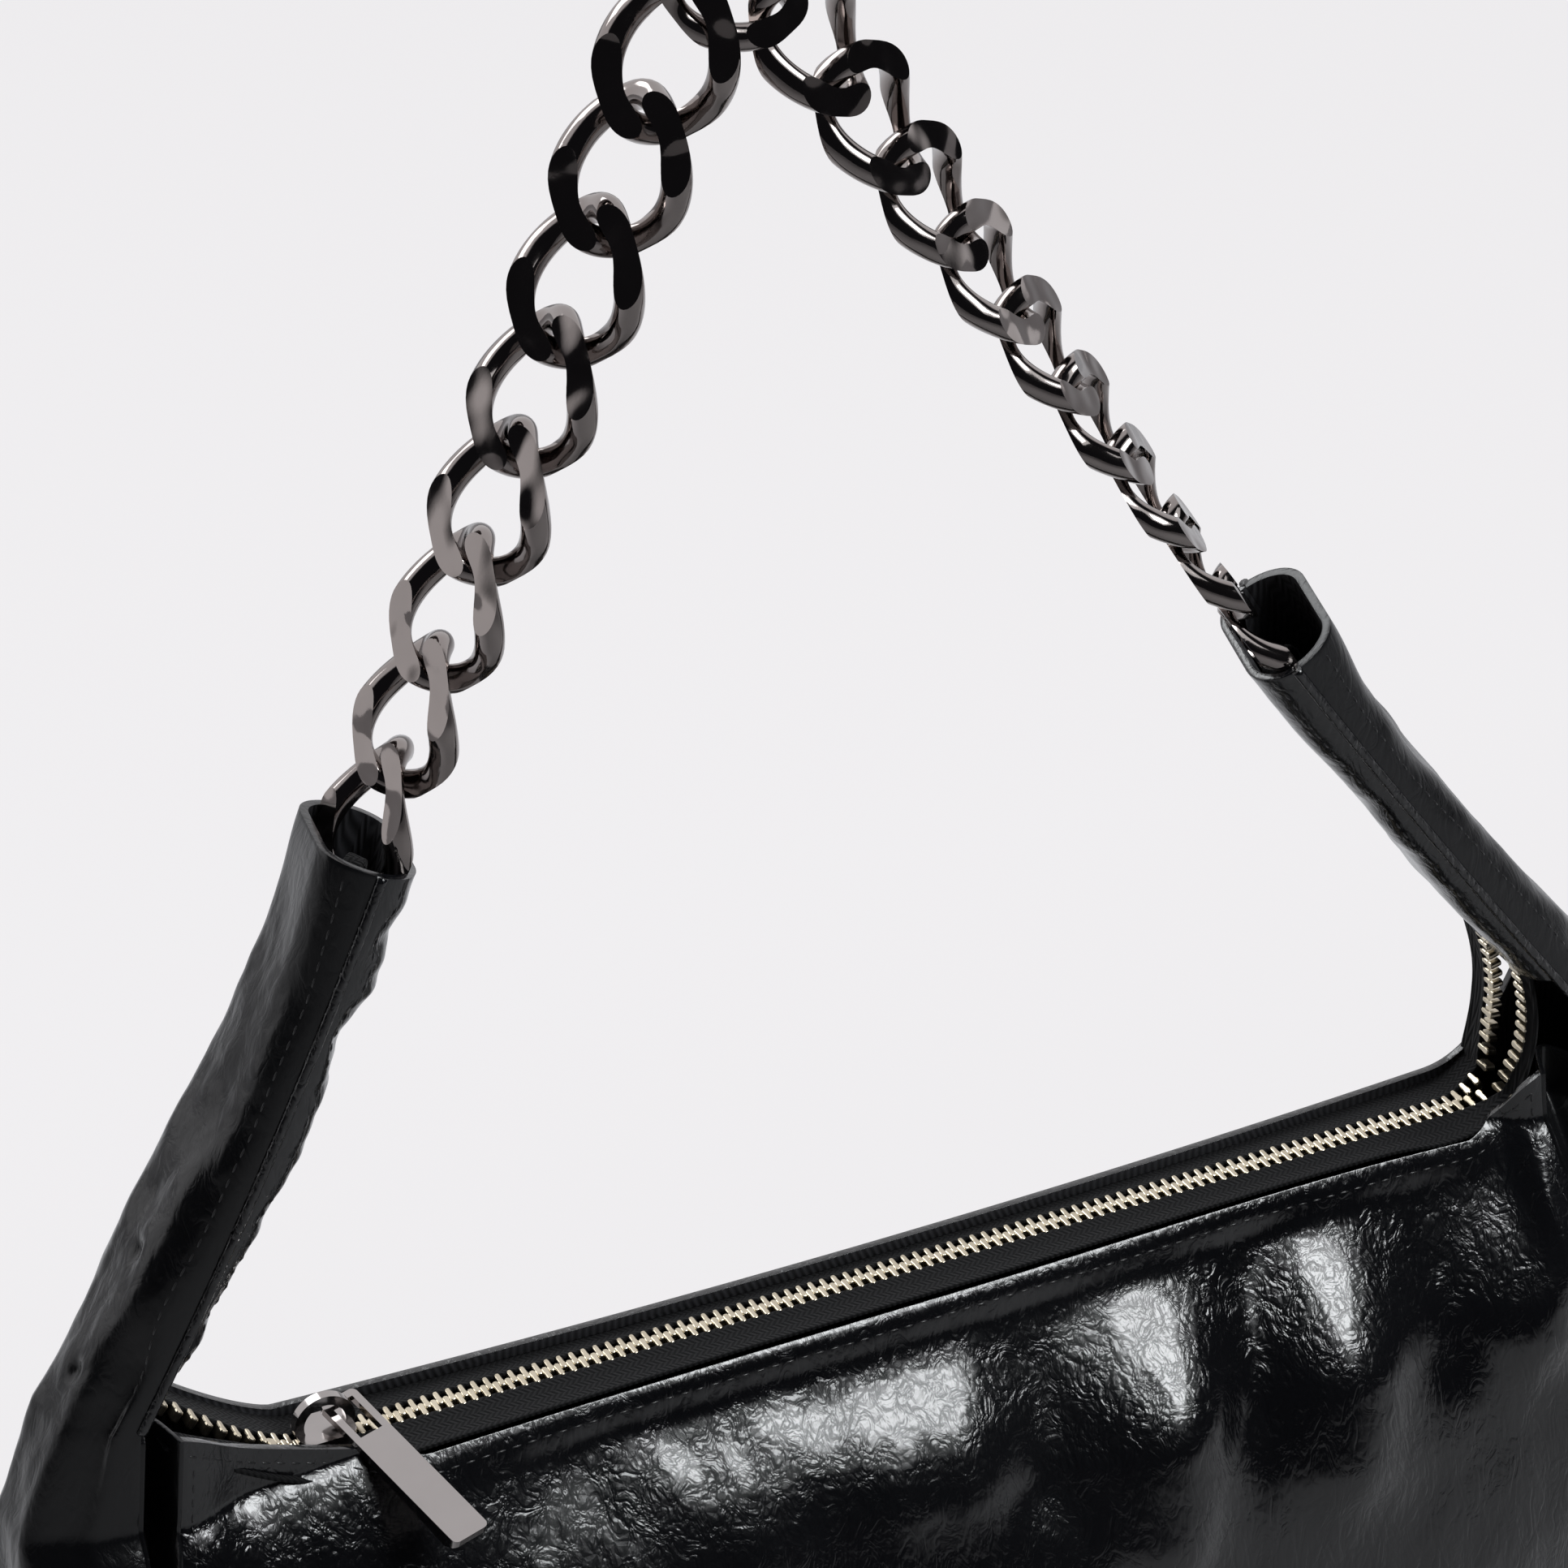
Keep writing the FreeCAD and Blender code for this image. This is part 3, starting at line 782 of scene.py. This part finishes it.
for side, name in ends:
    rows = []
    for i in range(recess_rows + 1):
        t = mix(recess_start_share, 1.0, i / recess_rows)
        near = panel_point(front_form, side, t)
        far = side_point(side, -1, (near.z - base_z) / (foot_z - base_z))
        deep = recess_depth * smooth_step(recess_start_share, recess_full_share, t)
        row = []
        for j in range(recess_columns + 1):
            share = j / recess_columns
            row.append(near.lerp(far, share) + Vector((0, deep * math.sin(math.pi * share), 0)))
        rows.append(row)
    recess = grid_object("%s_corner_recess" % name, rows, side_black, flip=side > 0)
    thicken(recess, leather / 2)
    dress(recess, "bag", "black_leather")


# Base: rings of the outline, each with its inset and drop, closed along a line in the middle
base_rings = ((0, 0), (0.6, -1.3), (1.8, -2.0), (12, -2.0), (24, -2.0))
base_points = 96
base_line_share = 0.5


def base_outline(inset, count):
    end, corner, edge, middle = level(base_z)
    depth = middle[1]
    bend_count = count // 4
    outline = []
    for side in (-1, 1):
        for i in range(count):
            u = -side * (2 * i / count - 1)
            outline.append((bag_x + u * corner, side * (edge + (depth - edge) * (1 - u * u) - inset)))
        for i in range(bend_count):
            a, b = bow(-side * (2 * i / bend_count - 1), edge - inset, end - corner - inset)
            outline.append((bag_x - side * (corner + b), a))
    return outline


outlines = [[Vector((x, y, base_z + drop)) for x, y in base_outline(inset, base_points)]
            for inset, drop in base_rings]
for ring in outlines:
    ring.append(ring[0].copy())
outlines.append([Vector((bag_x + (p.x - bag_x) * base_line_share, 0, p.z)) for p in outlines[-1]])
base = grid_object("base_leather", outlines, side_black, flip=True)
thicken(base, leather / 2)
dress(base, "bag", "black_leather", "base_panel")


# Zip
tape_left_end = -146.0
tape_turn_up = 136.0
tape_climb = 32.0
tape_right_end = tape_turn_up + tape_climb
tape_sink = 1.0
tape_thickness = 0.8
tape_edge = 2.2
tape_dip = 0.35
front_tape_slope = 1.1
front_tape_sag = 1.2
front_tape_sag_x = 122.0
front_tape_sag_width = 8.0
tape_rows = 200
tape_columns = 12
climb_wave = 3.4
climb_wave_length = 11.0
climb_lean_share = 0.06
turn_length = 4.0
rim_gap = 0.5
parting = 4.8
parting_start = zip_straight_half + 9.0
parting_end = zip_straight_half + 32.0


def rim_place(run, sink):
    """Point of the zip's line; past its turn at the right end it climbs up the inside of the tab."""
    up = run - tape_turn_up
    if up <= 0:
        return Vector((bag_x + run, 0, top_line(run, sink)))
    x = tape_turn_up + sink + climb_wave * math.sin(up / climb_wave_length) - climb_lean_share * up
    z = top_line(tape_turn_up, 0) - sink * max(1 - up / turn_length, 0) + up
    return Vector((bag_x + x, 0, z))


def rim_inside(side, x):
    """Distance from the middle plane to the inner face of the panel's top edge."""
    u = min(abs(x) / foot_half_span, 1)
    middle = front_mouth_depth if side < 0 else back_mouth_depth
    inside = tab_foot_half_width + (middle - tab_foot_half_width) * (1 - u * u) - rim_gap
    return inside - narrowing(x) if side < 0 else inside


def part_way(x):
    """How far the two rows have parted at a distance from the middle, past the meshed stretch."""
    return parting * smooth_step(parting_start, parting_end, abs(x))


def tape_slope(side, x):
    """How much lower the front tape's outer edge lies than its teeth."""
    if side > 0:
        return 0
    return front_tape_slope + front_tape_sag * math.exp(-((x - front_tape_sag_x) / front_tape_sag_width) ** 2)


for side, name in faces_of_bag:
    rows = []
    for i in range(tape_rows + 1):
        x = mix(tape_left_end, tape_right_end, i / tape_rows)
        row = []
        for j in range(tape_columns + 1):
            share = j / tape_columns
            y = mix(tape_edge + part_way(x), rim_inside(side, x), share)
            dip = tape_dip * math.sin(math.pi * share)
            point = rim_place(x, tape_sink + dip + tape_slope(side, x) * share)
            row.append(Vector((point.x, side * y, point.z)))
        rows.append(row)
    tape = grid_object("zip_tape_%s_cloth" % name, rows, tape_black, flip=side < 0)
    thicken(tape, tape_thickness)
    dress(tape, "bag", "tape_fabric", "zip_tape_%s" % name)


# Teeth: half of the outline as (across, half width), and the levels as (height, share of the outline)
tooth_pitch = 2.466
tooth_profile = ((2.9, 0.0), (2.75, 0.5), (2.1, 0.62), (0.9, 0.62),
                 (0.35, 0.74), (-0.35, 0.74), (-0.8, 0.5), (-0.9, 0.0))
tooth_levels = ((-1.2, 0.8), (-0.9, 1.0), (0.85, 1.0), (1.2, 0.78))
tooth_middle = 1.0
tooth_taper_share = 0.94
tooth_edge = 0.12
tooth_edge_angle_deg = 30
tooth_look_ahead = 0.5
front_teeth_left_end = -126.0
stop_stretch = 1.6


def teeth(name, side, shift):
    """Row of metal teeth clamped on the tape's edge, meshed along the straight and parted at the ends."""
    outline = list(tooth_profile) + [(y, -w) for y, w in reversed(tooth_profile[1:-1])]
    sides = len(outline)
    points = []
    faces = []
    count = int((tape_right_end - tape_left_end) / tooth_pitch)
    first_tooth = 0 if side > 0 else math.ceil((front_teeth_left_end - tape_left_end) / tooth_pitch)
    sink = tape_sink + tape_thickness / 2
    for i in range(first_tooth, count):
        x = tape_left_end + (i + 0.5 + shift) * tooth_pitch
        stretch = stop_stretch if i in (first_tooth, count - 1) else 1.0
        here = rim_place(x, sink)
        ahead = (rim_place(x + tooth_look_ahead, sink) - here).normalized()
        up = ahead.cross(Vector((0, 1, 0)))
        first = len(points)
        for height, swell in tooth_levels:
            taper = tooth_taper_share if swell < 1 else 1.0
            for y, w in outline:
                across = tooth_middle + (y - tooth_middle) * taper + part_way(x)
                points.append(here + ahead * w * swell * stretch + Vector((0, side * across, 0)) + up * height)
        tooth = tube_faces(first, len(tooth_levels), sides)
        faces += tooth if side > 0 else [face[::-1] for face in tooth]
    piece = mesh_object(name, points, faces, brass, smooth=False)
    soft_edges(piece, tooth_edge, 1, tooth_edge_angle_deg)
    return piece


dress(teeth("zip_teeth_front_row", -1, 0.0), "bag", "teeth_brass", "zip_teeth_front", "zip_end_stops")
dress(teeth("zip_teeth_back_row", 1, 0.5), "bag", "teeth_brass", "zip_teeth_back")


# Chain links: twisted ovals of round wire, ground flat on both faces
link_half_length = 12.7
link_half_width = 9.3
link_end_turn_deg = -45.0
link_fullness_share = 0.15
link_wire_radius = 2.5
top_link_wire_radius = 2.28
link_limb_swell_share = 0.1
link_flat_half = 2.75
link_edge = 0.4
link_edge_angle_deg = 24
link_rounds = 120
link_sides = 28
small_angle = 0.01
flat_face_corners = 5
link_counts = {-1: 8, 1: 9}
first_link_turn_deg = {-1: 42.0, 1: 30.0}
last_link_turn_deg = 84.0
top_link_turn_deg = 30.0
top_link_yaw_deg = 12.0
top_link_pitch_deg = -24.0


def link_centre(angle):
    """Point of the wire's middle line, with the link's two ends turned opposite ways."""
    x = link_half_width * math.cos(angle) * (1 + link_fullness_share * math.sin(angle) ** 2)
    turn = math.radians(link_end_turn_deg) * math.sin(angle)
    return Vector((x * math.cos(turn), x * math.sin(turn), link_half_length * math.sin(angle)))


def curb_link(wire_radius):
    """One link in its own axes: X across, Y out of its face, Z along the chain."""
    ring = bmesh.new()
    loops = []
    for i in range(link_rounds):
        angle = 2 * math.pi * i / link_rounds
        here = link_centre(angle)
        along = (link_centre(angle + small_angle) - link_centre(angle - small_angle)).normalized()
        away = (here - along * here.dot(along)).normalized()
        side = along.cross(away)
        loop = []
        for k in range(link_sides):
            turn = 2 * math.pi * k / link_sides
            swell = 1 + link_limb_swell_share * max(math.cos(turn), 0) * math.cos(angle) ** 2
            spot = here + (away * math.cos(turn) * swell + side * math.sin(turn)) * wire_radius
            loop.append(ring.verts.new(spot))
        loops.append(loop)
    for a, b in zip(loops, loops[1:] + loops[:1]):
        for k in range(link_sides):
            after = (k + 1) % link_sides
            ring.faces.new((a[k], a[after], b[after], b[k]))
    for face in (-1, 1):
        geometry = list(ring.verts) + list(ring.edges) + list(ring.faces)
        bmesh.ops.bisect_plane(ring, geom=geometry, plane_co=(0, face * link_flat_half, 0),
                               plane_no=(0, face, 0), clear_outer=True)
        rim = [edge for edge in ring.edges if edge.is_boundary]
        bmesh.ops.holes_fill(ring, edges=rim, sides=0)
    bmesh.ops.recalc_face_normals(ring, faces=ring.faces)
    for face in ring.faces:
        face.smooth = len(face.verts) <= flat_face_corners
    mesh = bpy.data.meshes.new("curb_link")
    ring.to_mesh(mesh)
    ring.free()
    return mesh


plain_link = curb_link(link_wire_radius)
top_link = curb_link(top_link_wire_radius)
body_of = {node: body for body, members in frame["record"]["behaviour"]["bodies"].items() for node in members}


def place_link(node, shape, middle, down, face):
    normal = (face - down * face.dot(down)).normalized()
    up = -down
    across = normal.cross(up)
    mesh = shape.copy()
    mesh.name = node + "_polished"
    for vertex in mesh.vertices:
        x, y, z = vertex.co
        vertex.co = (middle + across * x + normal * y + up * z) * MM
    mesh.materials.append(gunmetal)
    piece = bpy.data.objects.new(node + "_polished", mesh)
    bpy.context.scene.collection.objects.link(piece)
    soft_edges(piece, link_edge, 3, link_edge_angle_deg, harden=True)
    dress(piece, body_of[node], "chain_metal", node)


def link_face(out, turn_deg):
    """Way that a link's face looks: forwards, turned outwards by an angle."""
    turn = math.radians(turn_deg)
    return Vector((0, -math.cos(turn), 0)) + out * math.sin(turn)


yaw = math.radians(top_link_yaw_deg)
pitch = math.radians(top_link_pitch_deg)
turn = math.radians(top_link_turn_deg)
along = Vector((math.cos(yaw) * math.cos(pitch), math.sin(yaw) * math.cos(pitch), math.sin(pitch)))
behind = Vector((-math.sin(yaw), math.cos(yaw), 0))
top_face = along.cross(behind) * math.sin(turn) - behind * math.cos(turn)
place_link("link_top", top_link, Vector(), along, top_face)
for side, name in ends:
    start, mouth, down, out = leg_geometry(side)
    for i in range(link_counts[side]):
        share = i / (link_counts[side] - 1)
        face = link_face(out, mix(first_link_turn_deg[side], last_link_turn_deg, share))
        middle = start + down * link_pitch * (i + 0.5)
        place_link("link_%s_%d" % (name, i + 1), plain_link, middle, down, face)


# Straps inside the tabs, looped through the chain's last links
strap_width = 3.6
strap_thickness = 1.4
strap_radius = 5.0
strap_length = 14.0
strap_tail = 10.0
strap_foot_half = 1.0
strap_spread_share = 0.5
strap_leg_points = 12
strap_bend_points = 24
strap_columns = 6

strap_leg = []
for i in range(strap_leg_points):
    share = i / strap_leg_points
    x = mix(-strap_foot_half, -strap_radius, smooth_step(0, strap_spread_share, share))
    strap_leg.append((x, mix(-strap_length - strap_tail, 0, share)))
strap_bend = []
for i in range(strap_bend_points + 1):
    angle = math.pi * (1 - i / strap_bend_points)
    strap_bend.append((strap_radius * math.cos(angle), strap_radius * math.sin(angle)))
strap_path = strap_leg + strap_bend + [(-x, z) for x, z in reversed(strap_leg)]

for side, name in ends:
    start, mouth, down, out = leg_geometry(side)
    face = link_face(out, last_link_turn_deg)
    width = face.cross(-down)
    end_turn = math.radians(link_end_turn_deg)
    wire_way = width * math.cos(end_turn) - face * math.sin(end_turn)
    middle = start + down * (link_pitch * (link_counts[side] - 0.5) + link_half_length)
    across = wire_way.cross(down)
    rows = []
    for x, z in strap_path:
        centre = middle + across * x - down * z
        rows.append([centre + wire_way * mix(-strap_width / 2, strap_width / 2, j / strap_columns)
                     for j in range(strap_columns + 1)])
    strap = grid_object("%s_chain_strap" % name, rows, tape_black)
    thicken(strap, strap_thickness)
    dress(strap, "bag", "strap_webbing", "%s_chain_anchor" % name)


# Solid pieces kept from the construction
polished_nodes = ("zip_slider", "zip_puller")
polished_edge = 0.22
polished_edge_angle_deg = 28

for name, node in nodes.items():
    polished = name in polished_nodes
    node.data.materials.clear()
    node.data.materials.append(pale_metal if polished else lining_black)
    if polished:
        soft_edges(node, polished_edge, 3, polished_edge_angle_deg, harden=True)


# Stage, light and camera, in metres
floor_gap = 0.004
floor_reach = 6.0
# Painted shade: the floor's colour in front of the bag is darker, so glossy surfaces reflect a dark room there
floor_front_painted_shade = (0.34, 0.338, 0.344)
floor_back = (0.8, 0.795, 0.81)
floor_ramp = (-0.2, 0.4)
floor_roughness = 0.9
floor_glow = (0.9, 0.885, 0.9)
floor_glow_share = 0.88
pale_backdrop = (0.83, 0.823, 0.842)
room_dark = (0.012, 0.012, 0.014)
backdrop_ramp = (0.1, 0.26)
lamp_colour = (0.96, 0.985, 1.0)
bag_target = (0.06, -0.02, -0.285)
middle_target = (0.03, 0, -0.2)
camera_place = Vector((-0.32977, -0.6983, 0.31859))
camera_right = Vector((0.8996, -0.4368, 0.0))
camera_back = Vector((-0.3733, -0.7687, 0.5195))
camera_lens = 118.2
camera_sensor = 36.0


def shown(tree):
    """One for the rays that look straight or through glass at the backdrop."""
    rays = add(tree, "ShaderNodeLightPath")
    return maths(tree, "MAXIMUM", rays.outputs["Is Camera Ray"], rays.outputs["Is Transmission Ray"])


def pale_floor_material():
    """Matt floor with painted shade: its colour is darker in front of the bag, so the glossy leather reflects
    a dark room there; with a pale glow where it is seen directly.
    """
    mat, tree, shader = new_material("pale_floor")
    # Painted shade: the colour ramps from the darker front to the pale back along Y
    depth = ranged(tree, axes(tree, "Object")["Y"], 0.0, 1.0, *floor_ramp)
    two_colours(tree, shader, depth, floor_front_painted_shade, floor_back)
    shader.inputs["Roughness"].default_value = floor_roughness
    glow = add(tree, "ShaderNodeEmission")
    glow.inputs["Color"].default_value = (*floor_glow, 1)
    mixer = add(tree, "ShaderNodeMixShader")
    tree.links.new(maths(tree, "MULTIPLY", shown(tree), floor_glow_share), mixer.inputs["Fac"])
    tree.links.new(shader.outputs["BSDF"], mixer.inputs[1])
    tree.links.new(glow.outputs["Emission"], mixer.inputs[2])
    tree.links.new(mixer.outputs["Shader"], tree.nodes["Material Output"].inputs["Surface"])
    return mat


floor_z = cad_low[2] - floor_gap
floor_corners = [(x * floor_reach, y * floor_reach, floor_z)
                 for x, y in ((-1, -1), (1, -1), (1, 1), (-1, 1))]
floor_mesh = bpy.data.meshes.new("floor")
floor_mesh.from_pydata(floor_corners, [], [(0, 1, 2, 3)])
floor_mesh.materials.append(pale_floor_material())
floor = bpy.data.objects.new("floor", floor_mesh)
bpy.context.scene.collection.objects.link(floor)

# The room is dark in front of the bag and pale behind it, and pale wherever it is seen directly
world = bpy.data.worlds.new("studio")
bpy.context.scene.world = world
world.use_nodes = True
tree = world.node_tree
background = tree.nodes["Background"]
room = add(tree, "ShaderNodeMix", data_type="RGBA")
room.inputs["A"].default_value = (*room_dark, 1)
room.inputs["B"].default_value = (*pale_backdrop, 1)
tree.links.new(ranged(tree, axes(tree, "Generated")["Y"], 0.0, 1.0, *backdrop_ramp), room.inputs["Factor"])
seen = add(tree, "ShaderNodeMix", data_type="RGBA")
seen.inputs["B"].default_value = (*pale_backdrop, 1)
tree.links.new(room.outputs["Result"], seen.inputs["A"])
tree.links.new(shown(tree), seen.inputs["Factor"])
tree.links.new(seen.outputs["Result"], background.inputs["Color"])
background.inputs["Strength"].default_value = 1.0


def softbox(name, place, target, size, power):
    lamp = bpy.data.lights.new(name, "AREA")
    lamp.shape = "RECTANGLE"
    lamp.size, lamp.size_y = size
    lamp.energy = power
    lamp.color = lamp_colour
    obj = bpy.data.objects.new(name, lamp)
    obj.location = place
    obj.rotation_euler = (Vector(target) - Vector(place)).to_track_quat("-Z", "Y").to_euler()
    bpy.context.scene.collection.objects.link(obj)


softbox("top_light", place=(0.49, -0.49, 0.675), target=bag_target, size=(0.44, 0.42), power=6.5)
softbox("top_fill", place=(0.564, -0.571, 0.84), target=bag_target, size=(0.95, 0.85), power=3)
softbox("back_light", place=(-0.3, 0.9, 0.7), target=middle_target, size=(0.9, 0.6), power=6)

camera_data = bpy.data.cameras.new("camera")
camera_data.lens = camera_lens
camera_data.sensor_width = camera_sensor
camera = bpy.data.objects.new("camera", camera_data)
camera_up = camera_back.cross(camera_right)
camera_axes = Matrix((camera_right, camera_up, camera_back)).transposed()
camera.matrix_world = Matrix.Translation(camera_place) @ camera_axes.to_4x4()
bpy.context.scene.collection.objects.link(camera)
bpy.context.scene.camera = camera
bpy.context.scene.view_settings.view_transform = "Standard"
